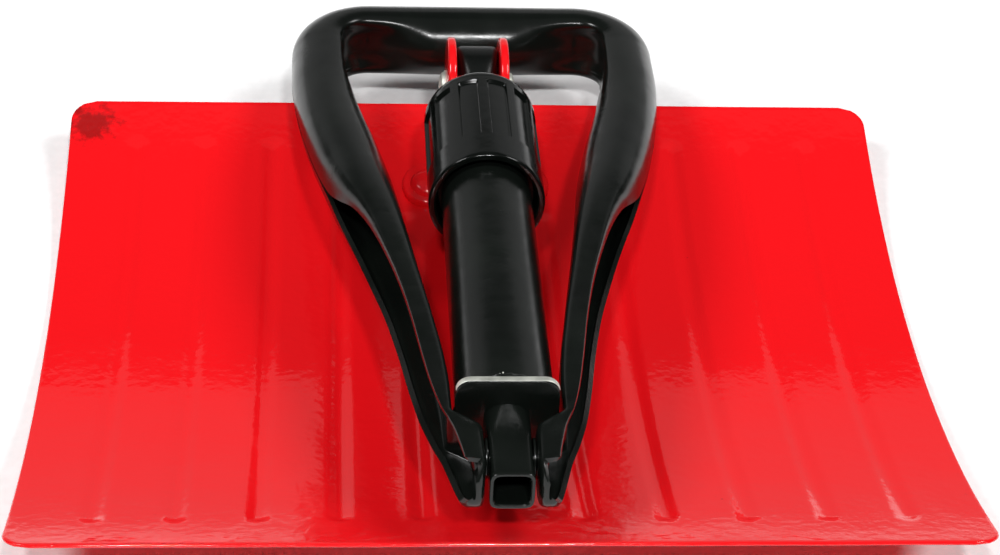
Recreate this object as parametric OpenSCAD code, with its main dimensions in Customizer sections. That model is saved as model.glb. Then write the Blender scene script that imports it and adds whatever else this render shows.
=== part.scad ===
// Folding snow shovel with a curved steel blade, a threaded locking collar and a folding D-handle.
// It is drawn folded up, lying on the blade's ribs. X runs across the blade, Y from its free edge
// to the hinge, Z up. Every piece is first drawn in the blade's own frame, whose origin is the
// middle of the free edge, and stand() then sets the folded shovel down where it balances.

/* [Blade] */
// Width of the blade
blade_w = 292; // [240:1:340]
// Straight distance between the free edge and the hinge edge
blade_len = 242; // [220:1:260]
// Depth of the curve, measured from that straight line
blade_sag = 22.2; // [18:0.2:26]
// Thickness of the blade sheet
blade_t = 1.2; // [1:0.1:2]
// Radius of the four corners
corner_r = 9; // [4:0.5:14]

/* [Ribs] */
// Distance between neighbouring ribs
rib_gap = 24.3; // [22:0.1:26]
// Width of a rib
rib_w = 8; // [6:0.5:10]
// Depth of a rib below the sheet
rib_depth = 1.2; // [0.8:0.1:1.6]
// Distance of the rib ends from the blade's edges
rib_margin = 20; // [16:1:26]

/* [Hinge] */
// Distance of the hinge pin from the free edge
hinge_y = 221; // [218:0.5:224]
// Height of the hinge pin and the shaft axis over the blade's edges
shaft_z = 20; // [19:0.5:22]
// Radius of the bracket's two round ears
ear_r = 17.6; // [16:0.1:17.8]
// Thickness of the bracket's sheet
ear_t = 3; // [2.5:0.1:3.5]
// Clear gap between the two ears
ear_gap = 15.4; // [15.2:0.1:16]
// Diameter of the hinge pin
hinge_pin_d = 8; // [6:0.5:9]

/* [Shaft] */
// Outer diameter of the shaft tube
tube_d = 30; // [29:0.2:31]
// Wall of the shaft tube
tube_wall = 1.5; // [1.2:0.1:2]
// Outer diameter of the threaded sleeve
thread_d = 33.4; // [33:0.1:33.6]
// Pitch of the sleeve's thread
thread_pitch = 4; // [2:0.5:5]
// Side of the square end plate
plate_w = 30.8; // [30:0.1:31.8]
// Thickness of the end plate
plate_t = 2.8; // [2:0.1:3]

/* [Collar] */
// Outer diameter of the collar over its ribs
collar_d = 39; // [38:0.5:39.5]
// Length of the collar
collar_len = 57; // [52:1:60]
// Number of finger ribs round the collar
collar_ribs = 12; // [10:1:14]

/* [Handle] */
// Outer diameter of the grip bar
grip_d = 25.2; // [24:0.2:26]
// Distance from the handle's pivot to the middle of the grip bar
handle_len = 251.4; // [248:0.2:253]
// Half of the handle's overall width
handle_half_w = 66.2; // [62:0.2:70]
// Height of the grip bar over the blade's edges when folded
grip_z = 13; // [12.8:0.1:14]
// Wall of the handle's rolled sheet
handle_wall = 1.5; // [1.2:0.1:1.8]
// Diameter of the handle's pivot pin
pivot_d = 6; // [5:0.5:6.5]

/* [Hidden] */
$fn = 64;
eps = 0.01;
run_gap = 0.05;

// Blade: one arc about the X axis through arc_y, arc_z
arc_r = (blade_len * blade_len / 4 + blade_sag * blade_sag) / (2 * blade_sag);
arc_y = blade_len / 2;
arc_z = arc_r - blade_sag;
half_arc = asin(blade_len / 2 / arc_r);
rib_arc = asin((blade_len / 2 - rib_margin) / arc_r);
rib_ball_r = (rib_w * rib_w / 4 + rib_depth * rib_depth) / (2 * rib_depth);
rib_centre_r = arc_r + rib_depth - rib_ball_r;
rib_rows = [-5, -4, -3, -2, -1, 1, 2, 3, 4, 5];
short_rib_arc = asin((188 - arc_y) / arc_r);

// Bracket
rivet_y = 203;
rivet_x = 16.9;
tab_r = 9.3;
rivet_d = 6;
rivet_head_d = 12.2;
dome_seat = 0.07;
bracket_y0 = 193;
bracket_y1 = 238.6;
rail_h = 3;
ear_mid = (ear_gap + ear_t) / 2;
ear_out = ear_gap / 2 + ear_t;
flat_r = ear_r - 0.4;

// Shaft stations, measured from the hinge pin towards the free edge
stub_end_y = -0.5;
plate_front_y = 30.6;
plate_front_s = hinge_y - plate_front_y;
plate_back_s = plate_front_s - plate_t;
stub_end_s = hinge_y - stub_end_y;
tube_start_s = 39;
sleeve_start_s = 39;
sleeve_end_s = 69;
washer_s = ear_r + 0.3;
washer_t = 2.4;
washer_r = 14.4;
collar_s = washer_s + 0.3;
collar_bore_r = thread_d / 2 + 0.3;
tongue_w = 15;
tongue_r = 14.5;
tongue_waist = 18;
spigot_end_s = 78;
spigot_bore_d = 20;
rivet_stations = [48, 60];

// Stub
stub_d = 14;
stub_side = 13;
stub_wall = 1.2;
stub_start_s = 150;
stub_square_s = 192;

// Handle: its plane runs from the pivot down to the grip bar
pivot_y = 14.2;
handle_tilt = asin((shaft_z - grip_z) / handle_len);
grip_y = pivot_y + handle_len * cos(handle_tilt);
grip_r = grip_d / 2;
corner_bend = 16;
seam_half = 1.5;
washer_out = 7.4;
ring_steps = 13;

// Attitude at rest: the blade rocks on its ribs until the centre of mass is over the lowest point
rest_tilt = 4.66;
lowest_r = arc_r + blade_t + rib_depth;
free_edge_y = -(arc_r + blade_t) * sin(half_arc + rest_tilt);
grip_turn = atan((grip_y - arc_y) / (arc_z - grip_z)) - rest_tilt;
grip_edge_y = norm([grip_y - arc_y, arc_z - grip_z]) * sin(grip_turn) + grip_r;
box_mid_y = (free_edge_y + grip_edge_y) / 2;

// Leg stations: distance from the pivot, inner face, outer face, height, squareness, and the
// two angles at which the rolled sheet opens above and below the handle's plane
leg_stations = [
    [-15.4, 8.9, 12.9, 8.6, 3, 120, 40],
    [-14.6, 8.4, 13.4, 12, 4, 115, 35],
    [-12.6, 7.8, 14.5, 15.4, 5, 110, 32],
    [-10.2, 7.6, 15.2, 16.6, 6, 100, 32],
    [-8.6, 7.5, 15.7, 16.8, 6, 42, 32],
    [0, 7.5, 18.0, 17, 6, 40, 32],
    [5.5, 7.6, 19.4, 17, 6, 40, 32],
    [9.5, 11.6, 20.6, 17, 6, 40, 32],
    [13.2, 16.2, 21.8, 17, 6, 40, 32],
    [26, 16.4, 24.8, 17.2, 6, 40, 32],
    [40, 17.4, 27.0, 17.8, 6, 40, 32],
    [60, 20.0, 29.8, 19, 6, 40, 32],
    [80, 22.8, 33.5, 20.4, 5, 38, 32],
    [100, 25.6, 38.6, 22, 4.5, 34, 30],
    [113, 27.3, 42.4, 23, 3.8, 28, 25],
    [125, 28.8, 46.6, 23.8, 3.2, 20, 18],
    [134, 29.8, 50.0, 24.3, 2.7, 10, 9],
    [143, 30.9, 53.0, 24.6, 2.3, 3, 3],
    [155, 32.8, 56.4, 24.8, 2, 1.5, 1.5],
    [170, 35.8, 59.8, 24.8, 2, 1.5, 1.5],
    [185, 38.8, 62.6, 24.8, 2, 1.5, 1.5],
    [200, 40.9, 64.6, 24.8, 2, 1.5, 1.5],
    [216, 41.4, 65.9, 25, 2, 1.5, 1.5]
];
corner_angles = [0, 12, 24, 36, 48, 60, 72, 84, 90];
corner_x = handle_half_w - grip_r - corner_bend;
corner_v = handle_len - corner_bend;

// ---- placing ----

// Sets the folded shovel down on its ribs, with the origin under the middle of its box
module stand() {
    translate([0, -box_mid_y, 0])
        translate([0, 0, lowest_r])
            rotate([-rest_tilt, 0, 0])
                translate([0, -arc_y, -arc_z])
                    children();
}

// Local Z runs along the shaft from the hinge pin to the free edge
module along_shaft(s = 0) {
    translate([0, hinge_y - s, shaft_z]) rotate([90, 0, 0]) children();
}

// Local Z runs along +X through a point of the YZ plane
module across(y, z) {
    translate([0, y, z]) rotate([0, 90, 0]) children();
}

// Local X, Y are the handle's plane, with the pivot at the origin and Y towards the grip bar
module handle_plane() {
    translate([0, pivot_y, shaft_z]) rotate([-handle_tilt, 0, 0]) children();
}

// Turns a section drawn as (radius, x) about the blade's arc, from angle a0 to a1 past the bottom
module about_arc(a0, a1) {
    translate([0, arc_y, arc_z])
        rotate([0, 90, 0])
            rotate_extrude(angle = a1 - a0, start = a0, $fn = 240) children();
}

// Puts children at a radius and an angle of the blade's arc, local -Z pointing away from its centre
module on_arc(r, a, x = 0) {
    translate([x, arc_y, arc_z]) rotate([a, 0, 0]) translate([0, 0, -r]) children();
}

module rounded_rect(w, h, r) {
    square([w - 2 * r, h], center = true);
    square([w, h - 2 * r], center = true);
    for (sx = [-1, 1], sy = [-1, 1])
        translate([sx * (w / 2 - r), sy * (h / 2 - r)]) circle(r);
}

// ---- blade body ----

// Runs a rib's section, drawn round its middle, along every rib
module along_ribs() {
    for (n = rib_rows)
        about_arc(-rib_arc, abs(n) == 1 ? short_rib_arc : rib_arc)
            translate([rib_centre_r, n * rib_gap]) children();
}

module rivet_places() {
    for (s = [-1, 1])
        on_arc(arc_r, asin((rivet_y - arc_y) / arc_r), s * rivet_x) children();
}

module blade() {
    rib_out = arc_r + blade_t / 2 - rib_centre_r;
    color("red") stand() difference() {
        union() {
            intersection() {
                about_arc(-half_arc, half_arc)
                    translate([arc_r, -blade_w / 2]) square([blade_t, blade_w]);
                translate([0, blade_len / 2, -blade_sag - 10])
                    linear_extrude(blade_sag + 20) rounded_rect(blade_w, blade_len + 1, corner_r);
            }
            along_ribs() intersection() {
                circle(rib_ball_r + blade_t);
                translate([rib_out, -rib_w]) square([rib_w, 2 * rib_w]);
            }
        }
        along_ribs() circle(rib_ball_r);
        rivet_places() cylinder(d = rivet_d + 0.1, h = 10, center = true);
    }
}

module bracket_floor() {
    intersection() {
        about_arc(0, half_arc)
            translate([arc_r - ear_t, -30]) square([ear_t, 60]);
        translate([0, 0, -blade_sag - 10]) linear_extrude(blade_sag + 20) {
            translate([-ear_out, bracket_y0]) square([2 * ear_out, bracket_y1 - bracket_y0]);
            translate([-rivet_x, rivet_y - tab_r]) square([2 * rivet_x, 2 * tab_r]);
            for (s = [-1, 1]) translate([s * rivet_x, rivet_y]) circle(tab_r);
        }
    }
}

// One ear: a round lobe with three small flats for the lock washer, on a skirt and a low rail
module ear() {
    intersection() {
        translate([-ear_t / 2, 0, 0]) rotate([90, 0, 90]) linear_extrude(ear_t) {
            translate([hinge_y, shaft_z]) intersection() {
                circle(ear_r);
                translate([-flat_r, -ear_r]) square([2 * flat_r, ear_r + flat_r]);
            }
            translate([hinge_y - flat_r, -blade_sag]) square([2 * flat_r, shaft_z + blade_sag]);
        }
        ear_inside();
    }
    intersection() {
        translate([-ear_t / 2, bracket_y0, -blade_sag])
            cube([ear_t, hinge_y - bracket_y0, blade_sag + shaft_z]);
        about_arc(0, half_arc)
            translate([arc_r - ear_t - rail_h, -ear_t]) square([rail_h + 1, 2 * ear_t]);
    }
}

// Space above the middle of the bracket's floor, where the ears join it
module ear_inside() {
    translate([0, arc_y, arc_z]) rotate([0, 90, 0])
        cylinder(r = arc_r - ear_t / 2, h = 4 * ear_t, center = true, $fn = 240);
}

module hinge_bracket() {
    color("red") stand() difference() {
        union() {
            bracket_floor();
            for (s = [-1, 1]) translate([s * ear_mid, 0, 0]) ear();
        }
        rivet_places() cylinder(d = rivet_d + 0.1, h = 12, center = true);
        across(hinge_y, shaft_z) cylinder(d = hinge_pin_d + 0.1, h = 40, center = true);
    }
}

// Low dome standing on local z = 0
module dome(d, h) {
    ball_r = (d * d / 4 + h * h) / (2 * h);
    intersection() {
        translate([0, 0, h - ball_r]) sphere(ball_r);
        cylinder(d = d, h = h + 1);
    }
}

module blade_rivets() {
    color("red") stand() rivet_places() {
        translate([0, 0, ear_t + dome_seat]) dome(rivet_head_d, 3);
        translate([0, 0, -blade_t - 0.5]) cylinder(d = rivet_d, h = ear_t + blade_t + 1.5);
        translate([0, 0, -blade_t]) mirror([0, 0, 1]) dome(10, 1.8);
    }
}

module hinge_pin() {
    color("silver") stand() across(hinge_y, shaft_z) {
        cylinder(d = hinge_pin_d, h = 2 * ear_out + 3, center = true);
        for (s = [0, 1]) mirror([0, 0, s]) translate([0, 0, ear_out + 1]) dome(10.4, 1.8);
    }
}

module hinge_pin_washers() {
    color("silver") stand() across(hinge_y, shaft_z)
        for (s = [0, 1]) mirror([0, 0, s]) translate([0, 0, ear_out]) difference() {
            cylinder(d = 11.6, h = 1);
            translate([0, 0, -1]) cylinder(d = hinge_pin_d + 0.1, h = 3);
        }
}

// ---- shaft body ----

module shaft_tube() {
    color("black") stand() difference() {
        along_shaft(tube_start_s) difference() {
            cylinder(d = tube_d, h = plate_back_s - tube_start_s);
            translate([0, 0, -1]) cylinder(d = tube_d - 2 * tube_wall, h = stub_end_s);
        }
        rivet_holes();
    }
}

module rivet_holes() {
    for (s = rivet_stations)
        across(hinge_y - s, shaft_z) cylinder(d = 5.1, h = 60, center = true);
}

module threaded_sleeve() {
    root_r = thread_d / 2 - 0.8;
    color("dimgray") stand() difference() {
        along_shaft(0) union() {
            translate([0, 0, sleeve_start_s]) cylinder(r = root_r, h = sleeve_end_s - sleeve_start_s);
            for (s = [sleeve_start_s : thread_pitch : sleeve_end_s - thread_pitch / 2])
                translate([0, 0, s]) cylinder(d = thread_d, h = thread_pitch / 2);
        }
        along_shaft(0) cylinder(d = tube_d, h = stub_end_s);
        rivet_holes();
    }
}

module hinge_tongue() {
    color("dimgray") stand() difference() {
        union() {
            intersection() {
                union() {
                    across(hinge_y, shaft_z) cylinder(r = tongue_r, h = tongue_w, center = true);
                    along_shaft(0) translate([-tongue_w / 2, -tongue_waist / 2, 0])
                        cube([tongue_w, tongue_waist, 40]);
                }
                along_shaft(-40) cylinder(d = 2 * tongue_r + 3, h = 90);
            }
            along_shaft(tube_start_s - 1) cylinder(r = tube_d / 2 - tube_wall, h = spigot_end_s - tube_start_s);
        }
        across(hinge_y, shaft_z) cylinder(d = hinge_pin_d + 2 * run_gap, h = 40, center = true);
        along_shaft(tube_start_s + 4) cylinder(d = spigot_bore_d, h = spigot_end_s);
        rivet_holes();
    }
}

// Cross rivets through sleeve, tube and spigot
module sleeve_rivets() {
    color("silver") stand() intersection() {
        for (s = rivet_stations)
            across(hinge_y - s, shaft_z) cylinder(d = 5, h = thread_d, center = true);
        along_shaft(0) cylinder(d = thread_d - 1.6, h = 100);
    }
}

module end_plate() {
    color("gray") stand() along_shaft(plate_back_s) difference() {
        linear_extrude(plate_t) rounded_rect(plate_w, plate_w, 4);
        translate([0, 0, -1]) cylinder(d = stub_d + 0.04, h = plate_t + 2);
    }
}

// Fillet of weld between the tube's end and the plate
module plate_weld() {
    leg = 1.5;
    color("black") stand() along_shaft(plate_back_s - leg)
        rotate_extrude()
            translate([tube_d / 2, 0]) polygon([[0, 0], [leg / 2, leg], [0, leg]]);
}

module stub_tube() {
    color("black") stand() difference() {
        along_shaft(0) difference() {
            union() {
                translate([0, 0, stub_start_s]) cylinder(d = stub_d, h = stub_square_s + 4 - stub_start_s);
                translate([0, 0, stub_square_s]) linear_extrude(stub_end_s - stub_square_s)
                    rounded_rect(stub_side, stub_side, 3.2);
            }
            translate([0, 0, stub_start_s - 1])
                cylinder(d = stub_side - 2 * stub_wall, h = stub_end_s - stub_start_s);
            translate([0, 0, stub_square_s + 6]) linear_extrude(stub_end_s - stub_square_s)
                rounded_rect(stub_side - 2 * stub_wall, stub_side - 2 * stub_wall, 2);
        }
        across(pivot_y, shaft_z) cylinder(d = pivot_d + 2 * run_gap, h = 40, center = true);
    }
}

// Pressed ring that centres the stub's inner end in the shaft tube
module stub_collar() {
    color("silver") stand() along_shaft(stub_start_s + 2) difference() {
        union() {
            cylinder(r = tube_d / 2 - tube_wall, h = 1.5);
            cylinder(d = stub_d + 3, h = 6);
            difference() {
                cylinder(r = tube_d / 2 - tube_wall, h = 6);
                translate([0, 0, -1]) cylinder(r = tube_d / 2 - tube_wall - 1.5, h = 8);
            }
        }
        translate([0, 0, -1]) cylinder(d = stub_d + 0.04, h = 8);
    }
}

// ---- collar bodies ----

module lock_washer() {
    color("silver") stand() along_shaft(washer_s) difference() {
        cylinder(r = washer_r, h = washer_t);
        translate([0, 0, -1]) linear_extrude(washer_t + 2)
            square([tongue_w + 0.4, tongue_waist + 0.4], center = true);
    }
}

module lock_collar() {
    r = collar_d / 2;
    nose = 4;
    nose_bore_r = 12.4;
    color("black") stand() along_shaft(collar_s) difference() {
        rotate_extrude() difference() {
            union() {
                translate([0, nose]) square([r, collar_len - nose]);
                square([r - nose, nose + eps]);
                translate([r - nose, nose]) circle(nose);
            }
            translate([-50, -50]) square([50, 200]);
            translate([-1, collar_len + eps]) square([50, 50]);
        }
        for (i = [0 : collar_ribs - 1]) rotate([0, 0, (i + 0.5) * 360 / collar_ribs])
            collar_panel();
        translate([0, 0, -1]) cylinder(r = washer_r + 0.2, h = 1 + washer_s + washer_t - collar_s + 0.05);
        translate([0, 0, -1]) cylinder(r = nose_bore_r, h = collar_len);
        translate([0, 0, 6]) cylinder(r = collar_bore_r, h = collar_len);
    }
}

// Cutter for one of the shallow panels between two finger ribs
module collar_panel() {
    depth = 0.8;
    intersection() {
        translate([0, 0, 9]) difference() {
            cylinder(d = collar_d + 4, h = 33);
            translate([0, 0, -1]) cylinder(d = collar_d - 2 * depth, h = 35);
        }
        half = 180 / collar_ribs - 3.8;
        linear_extrude(collar_len) polygon([
            [0, 0],
            [40 * cos(half), -40 * sin(half)],
            [40 * cos(half), 40 * sin(half)]
        ]);
    }
}

// ---- handle body ----

function power(c, n) = sign(c) * pow(abs(c), 2 / n);

// One open ring of the rolled sheet: outer contour out, inner contour back. c is its middle,
// a the direction of its outer side in the handle's plane, w and h its half sizes
function sheet_ring(c, a, w, h, n, open_up, open_down) = [
    for (side = [0, 1], i = [0 : ring_steps]) let(
        step = side == 0 ? i : ring_steps - i,
        t = open_up + (360 - open_up - open_down) * step / ring_steps,
        u = (w - side * handle_wall) * power(cos(t), n),
        z = (h - side * handle_wall) * power(sin(t), n)
    ) [c[0] + u * cos(a), c[1] + u * sin(a), z]
];

leg_rings = [
    for (s = leg_stations)
        sheet_ring([(s[1] + s[2]) / 2, s[0]], 0, (s[2] - s[1]) / 2, s[3] / 2, s[4], s[5], s[6])
];

corner_rings = [
    for (a = corner_angles)
        sheet_ring(
            [corner_x + corner_bend * cos(a), corner_v + corner_bend * sin(a)],
            a, grip_r, grip_r, 2, seam_half, seam_half)
];

grip_middle = sheet_ring([0, handle_len], 90, grip_r, grip_r, 2, seam_half, seam_half);

right_rings = concat(leg_rings, corner_rings);

function mirrored(ring) = [for (p = ring) [-p[0], p[1], p[2]]];

handle_rings = concat(
    right_rings,
    [grip_middle],
    [for (i = [len(right_rings) - 1 : -1 : 0]) mirrored(right_rings[i])]
);

// Skin between successive rings, with a flat face at each end
module loft(rings) {
    n = len(rings[0]);
    last = len(rings) - 1;
    sides = [
        for (k = [0 : last - 1], i = [0 : n - 1], half = [0, 1]) let(
            j = (i + 1) % n,
            a = k * n + i,
            b = k * n + j
        ) half == 0 ? [a, b, a + n] : [b, b + n, a + n]
    ];
    ends = [[for (i = [n - 1 : -1 : 0]) i], [for (i = [0 : n - 1]) last * n + i]];
    polyhedron(points = [for (r = rings) each r], faces = concat(sides, ends));
}

module d_handle() {
    color("black") stand() difference() {
        handle_plane() loft(handle_rings);
        across(pivot_y, shaft_z) cylinder(d = pivot_d + 0.1, h = 60, center = true);
    }
}

module pivot_pin() {
    half = washer_out + handle_wall + 1;
    color("black") stand() across(pivot_y, shaft_z) {
        cylinder(d = pivot_d, h = 2 * half, center = true);
        for (s = [0, 1]) mirror([0, 0, s]) translate([0, 0, half - 0.6]) dome(10, 2.2);
    }
}

module pivot_washers() {
    color("black") stand() across(pivot_y, shaft_z)
        for (s = [0, 1]) mirror([0, 0, s]) translate([0, 0, stub_side / 2 + 0.1]) difference() {
            cylinder(d = 12, h = washer_out - stub_side / 2 - 0.15);
            translate([0, 0, -1]) cylinder(d = pivot_d + 0.1, h = 4);
        }
}

blade();
hinge_bracket();
blade_rivets();
hinge_pin();
hinge_pin_washers();
shaft_tube();
threaded_sleeve();
hinge_tongue();
sleeve_rivets();
end_plate();
plate_weld();
stub_tube();
stub_collar();
lock_washer();
lock_collar();
d_handle();
pivot_pin();
pivot_washers();
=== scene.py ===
# %% [markdown]
# # A folding snow shovel, folded up
# This lesson dresses an exact CAD frame of a small emergency shovel. The frame gives every
# moving body and its place; here each visible piece gets its real skin: pressed and enamelled
# sheet steel, a moulded screw collar, a rolled D-handle, and zinc-plated pins.

# %% Load the frame
import math

import bmesh
import bpy
import numpy as np
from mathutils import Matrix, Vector

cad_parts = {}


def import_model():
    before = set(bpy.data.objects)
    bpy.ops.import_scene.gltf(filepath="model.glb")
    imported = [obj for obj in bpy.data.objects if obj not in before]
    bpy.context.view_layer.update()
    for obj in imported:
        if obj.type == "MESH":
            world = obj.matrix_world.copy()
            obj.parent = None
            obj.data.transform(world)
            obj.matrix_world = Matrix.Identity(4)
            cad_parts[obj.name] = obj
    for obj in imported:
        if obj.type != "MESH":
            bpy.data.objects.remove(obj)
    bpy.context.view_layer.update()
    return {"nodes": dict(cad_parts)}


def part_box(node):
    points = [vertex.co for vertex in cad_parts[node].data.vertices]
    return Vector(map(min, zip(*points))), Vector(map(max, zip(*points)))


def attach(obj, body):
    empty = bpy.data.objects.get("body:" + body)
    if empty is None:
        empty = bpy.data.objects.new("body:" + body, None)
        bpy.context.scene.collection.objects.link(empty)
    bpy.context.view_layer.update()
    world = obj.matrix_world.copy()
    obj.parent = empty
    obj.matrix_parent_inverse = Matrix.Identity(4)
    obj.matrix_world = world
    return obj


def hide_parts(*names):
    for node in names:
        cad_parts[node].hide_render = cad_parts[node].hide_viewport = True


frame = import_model()

# %% [markdown]
# The shovel is easiest to think about in the blade's own frame, in millimetres: X across the
# blade, Y from its free edge to its hinge edge, Z up from the straight line between those edges.
# At rest the whole thing is rocked a little on its curved belly until it balances, so one
# function takes points from the blade's frame to the world. The numbers are the CAD's own.

# %% The blade's frame and the world
BLADE_W, BLADE_LEN, SAG, SHEET_T = 292.0, 242.0, 22.2, 1.2
ARC_R = (BLADE_LEN ** 2 / 4 + SAG ** 2) / (2 * SAG)
ARC_Y, ARC_Z = BLADE_LEN / 2, ARC_R - SAG
RIB_DEPTH, RIB_W, RIB_GAP = 0.8, 9.4, 24.3
REST_TILT = math.radians(4.66)
PIN_Y, SHAFT_Z = 221.0, 20.0
PIVOT_Y, GRIP_Z, HANDLE_LEN = 14.2, 13.0, 251.4
HANDLE_TILT = math.asin((SHAFT_Z - GRIP_Z) / HANDLE_LEN)
MM = 0.001


def tilt_only(p):
    """Turns points about the centre of the blade's arc by the tilt at rest, still in mm."""
    c, s = math.cos(REST_TILT), math.sin(REST_TILT)
    p = np.asarray(p, float)
    y, z = p[..., 1] - ARC_Y, p[..., 2] - ARC_Z
    return np.stack([p[..., 0], y * c + z * s, -y * s + z * c], -1)


pin_low, pin_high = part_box("hinge_pin")
PIN_WORLD = np.array((pin_low + pin_high) / 2)
OFFSET = PIN_WORLD - tilt_only([0, PIN_Y, SHAFT_Z]) * MM


def world(p):
    """Points in the blade's frame, in mm, to the world, in metres."""
    return tilt_only(p) * MM + OFFSET


print("hinge pin in the world:", PIN_WORLD.round(4))

# %% [markdown]
# Every material starts from a real finish. Colours are written as the sRGB hex values a colour
# picker shows and turned to linear by one function. One more function adds a shader node with
# its settings and its links, so each recipe below reads as a short list. The patterns are all
# noises in the object's own space: they need no unwrapping and turn with the piece.

# %% Helpers for materials


def linear(hex_colour):
    """sRGB hex to a linear RGBA tuple."""
    parts = [int(hex_colour[i:i + 2], 16) / 255 for i in (0, 2, 4)]
    return tuple(c / 12.92 if c <= 0.04045 else ((c + 0.055) / 1.055) ** 2.4 for c in parts) + (1.0,)


def add(tree, kind, links=None, **settings):
    """Adds a node, sets its inputs or its own settings, and links sockets into it."""
    node = tree.nodes.new("ShaderNode" + kind)
    for name, value in settings.items():
        name = name.replace("_", " ") if name[0].isupper() else name
        if name in node.inputs:
            node.inputs[name].default_value = value
        else:
            setattr(node, name, value)
    for name, socket in (links or {}).items():
        tree.links.new(socket, node.inputs[name])
    return node


def new_material(name, **shader):
    """A material with one Principled shader, whose constant inputs are set on the shader itself."""
    material = bpy.data.materials.new(name)
    material.use_nodes = True
    tree = material.node_tree
    tree.nodes.clear()
    surface = add(tree, "BsdfPrincipled", **shader)
    add(tree, "OutputMaterial", {"Surface": surface.outputs["BSDF"]})
    place = add(tree, "TexCoord").outputs["Object"]
    return material, tree, surface, place


def ramp(tree, fac, low, high, dark, light):
    """A colour ramp between two positions."""
    node = add(tree, "ValToRGB", {"Fac": fac})
    node.color_ramp.elements[0].position, node.color_ramp.elements[1].position = low, high
    node.color_ramp.elements[0].color, node.color_ramp.elements[1].color = dark, light
    return node.outputs["Color"]


def grey(value):
    """A ramp colour that stands for a plain number."""
    return (value, value, value, 1.0)


def per_mm(size):
    """Noise scale, in features per metre, for features of this size in millimetres."""
    return 1000.0 / size


# %% [markdown]
# ## Red enamel
# The blade is pressed steel under a thick gloss enamel, sprayed and baked. Wet enamel settles
# unevenly, which leaves "orange peel": soft ripples 2 to 4 mm apart that make reflections wobble
# without dulling them. Enamel's IOR is about 1.5. Rough handling leaves fine scuffs, so the
# roughness varies. A few dark specks are scattered over it, and one corner has been rubbed: a
# smudge about 15 mm wide. It could be painted on an image, but a distance weighed against a
# noise gives the same ragged edge and needs no file.

# %% Material: red baked enamel
red_enamel, tree, surface, place = new_material("red_baked_enamel_sprayed", IOR=1.5)
peel = add(tree, "TexNoise", {"Vector": place}, Scale=per_mm(3.0), Detail=1.5, Roughness=0.45)
wave = add(tree, "TexNoise", {"Vector": place}, Scale=per_mm(26), Detail=1.0)
first = add(tree, "Bump", {"Height": peel.outputs["Fac"]}, Strength=0.14, Distance=0.0006)
bump = add(tree, "Bump", {"Height": wave.outputs["Fac"], "Normal": first.outputs["Normal"]},
           Strength=0.20, Distance=0.0020)
tree.links.new(bump.outputs["Normal"], surface.inputs["Normal"])
scuff = add(tree, "TexNoise", {"Vector": place}, Scale=per_mm(14), Detail=6, Roughness=0.7)
tree.links.new(ramp(tree, scuff.outputs["Fac"], 0.40, 0.75, grey(0.07), grey(0.16)),
               surface.inputs["Roughness"])
specks = add(tree, "TexNoise", {"Vector": place}, Scale=per_mm(7), Detail=3, Roughness=0.6)
clean = ramp(tree, specks.outputs["Fac"], 0.20, 0.25, linear("5A0D0E"), linear("EA1219"))
from_corner = add(tree, "VectorMath", {0: place}, operation="DISTANCE")
from_corner.inputs[1].default_value = world([-139, 231, -4])
near_corner = add(tree, "MapRange", {"Value": from_corner.outputs["Value"]},
                  From_Min=0.003, From_Max=0.016, To_Min=0.64, To_Max=0.24)
rubbed = add(tree, "TexNoise", {"Vector": place}, Scale=per_mm(6), Detail=4, Roughness=0.65)
dirty = add(tree, "Math", {0: near_corner.outputs[0], 1: rubbed.outputs["Fac"]}, operation="SUBTRACT")
smudge = add(tree, "MapRange", {"Value": dirty.outputs[0]}, From_Min=-0.04, From_Max=0.12, To_Max=0.6)
paint = add(tree, "Mix", {"Factor": smudge.outputs[0]}, data_type="RGBA")
tree.links.new(clean, paint.inputs[6])
paint.inputs[7].default_value = linear("4B1512")
tree.links.new(paint.outputs[2], surface.inputs["Base Color"])

# %% [markdown]
# ## Black enamel
# The tube, the stub and the D-handle wear a thinner semi-gloss black stove enamel, with a slight
# green-grey cast. Its IOR is that of the red, but its specular level is turned down a little,
# since deep blacks under lamps soon look grey. Fine grit 0.5 mm across is drawn at 1 mm, coarse
# enough to show, and it blurs highlights into bands instead of mirror lines.

# %% Material: black stove enamel
black_enamel, tree, surface, place = new_material(
    "black_stove_enamel_sprayed", IOR=1.5, Specular_IOR_Level=0.38)
grit = add(tree, "TexNoise", {"Vector": place}, Scale=per_mm(1.0), Detail=2)
sag = add(tree, "TexNoise", {"Vector": place}, Scale=per_mm(9), Detail=2)
tone = add(tree, "TexNoise", {"Vector": place}, Scale=per_mm(30), Detail=4)
tree.links.new(ramp(tree, tone.outputs["Fac"], 0.35, 0.7, linear("0B0E0C"), linear("111512")),
               surface.inputs["Base Color"])
tree.links.new(ramp(tree, sag.outputs["Fac"], 0.3, 0.75, grey(0.17), grey(0.28)),
               surface.inputs["Roughness"])
first = add(tree, "Bump", {"Height": grit.outputs["Fac"]}, Strength=0.06, Distance=0.0004)
bump = add(tree, "Bump", {"Height": sag.outputs["Fac"], "Normal": first.outputs["Normal"]},
           Strength=0.12, Distance=0.0008)
tree.links.new(bump.outputs["Normal"], surface.inputs["Normal"])

# %% [markdown]
# ## Moulded black plastic
# The collar is injection-moulded ABS from a polished mould: IOR 1.54, low roughness, and faint
# flow marks about 5 mm long. Its black is a shade deeper than the enamel's. One noise drives colour,
# roughness and bump together, as the flow of the melt would.

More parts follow.
